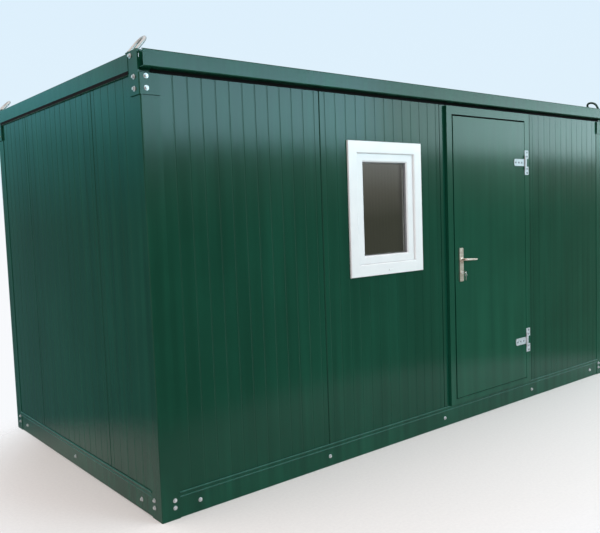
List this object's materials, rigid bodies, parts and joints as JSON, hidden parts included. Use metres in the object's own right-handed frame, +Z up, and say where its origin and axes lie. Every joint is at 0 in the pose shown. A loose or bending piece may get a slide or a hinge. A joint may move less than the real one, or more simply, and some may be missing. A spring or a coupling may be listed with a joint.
{
  "type": "portable site cabin",
  "caption": "Portable site cabin with a folded steel frame, grooved sandwich-panel walls, a flat roof with lifting eyes, a hinged steel door and a small white window.",
  "frame": {"origin": "on the ground at the middle of the footprint, on the underside of the middle floor joist", "axes": "+X along the length, -Y towards the door and window side, +Z up"},
  "size_m": [4.526, 2.428, 2.4582],
  "materials": {
    "frame_paint": "gloss dark green paint on folded steel",
    "panel_paint": "gloss dark green coated sheet, white inner liner",
    "door_paint": "gloss dark green paint",
    "window_upvc": "white extruded plastic",
    "window_glass": "clear sealed double glazing",
    "galvanised_steel": "bright zinc plate",
    "handle_metal": "warm brushed nickel",
    "lock_nickel": "nickel-plated brass",
    "floor_ply": "sealed plywood"
  },
  "bodies": {
    "cabin": {"back_wall_panels": "panel_paint", "base_rail_back": "frame_paint", "base_rail_front": "frame_paint", "base_rail_left": "frame_paint", "base_rail_right": "frame_paint", "corner_brackets": "frame_paint", "corner_post_back_left": "frame_paint", "corner_post_back_right": "frame_paint", "corner_post_front_left": "frame_paint", "corner_post_front_right": "frame_paint", "door_bay_infill": "panel_paint", "door_head": "door_paint", "door_jamb_left": "door_paint", "door_jamb_right": "door_paint", "door_threshold": "door_paint", "eaves_beam_back": "frame_paint", "eaves_beam_front": "frame_paint", "floor_deck": "floor_ply", "floor_joists": "frame_paint", "front_panel_1": "panel_paint", "front_panel_4": "panel_paint", "front_panel_window": "panel_paint", "hinge_frame_leaves": "galvanised_steel", "left_wall_panels": "panel_paint", "lifting_eyes": "frame_paint", "panel_foot_strips": "frame_paint", "right_wall_panels": "panel_paint", "roof_end_beam_left": "frame_paint", "roof_end_beam_right": "frame_paint", "roof_panels": "panel_paint", "window_frame": "window_upvc", "window_glass": "window_glass", "window_sash": "window_upvc"},
    "door": {"door_leaf": "door_paint", "hinge_straps": "galvanised_steel", "lock_plates": "handle_metal", "lock_cylinder": "lock_nickel"},
    "handle": {"lever_handle": "handle_metal"}
  },
  "joints": [
    {"name": "door_swing", "type": "hinge", "parent": "cabin", "child": "door", "pos_m": [0.998, -1.1773, 1.186], "axis": [0, 0, 1], "range_deg": [0, 120]},
    {"name": "lever_turn", "type": "hinge", "parent": "door", "child": "handle", "pos_m": [0.185, -1.1475, 1.186], "axis": [0, 1, 0], "range_deg": [0, 40], "stiffness_Nm_per_rad": 1, "springref_deg": -28.65}
  ]
}
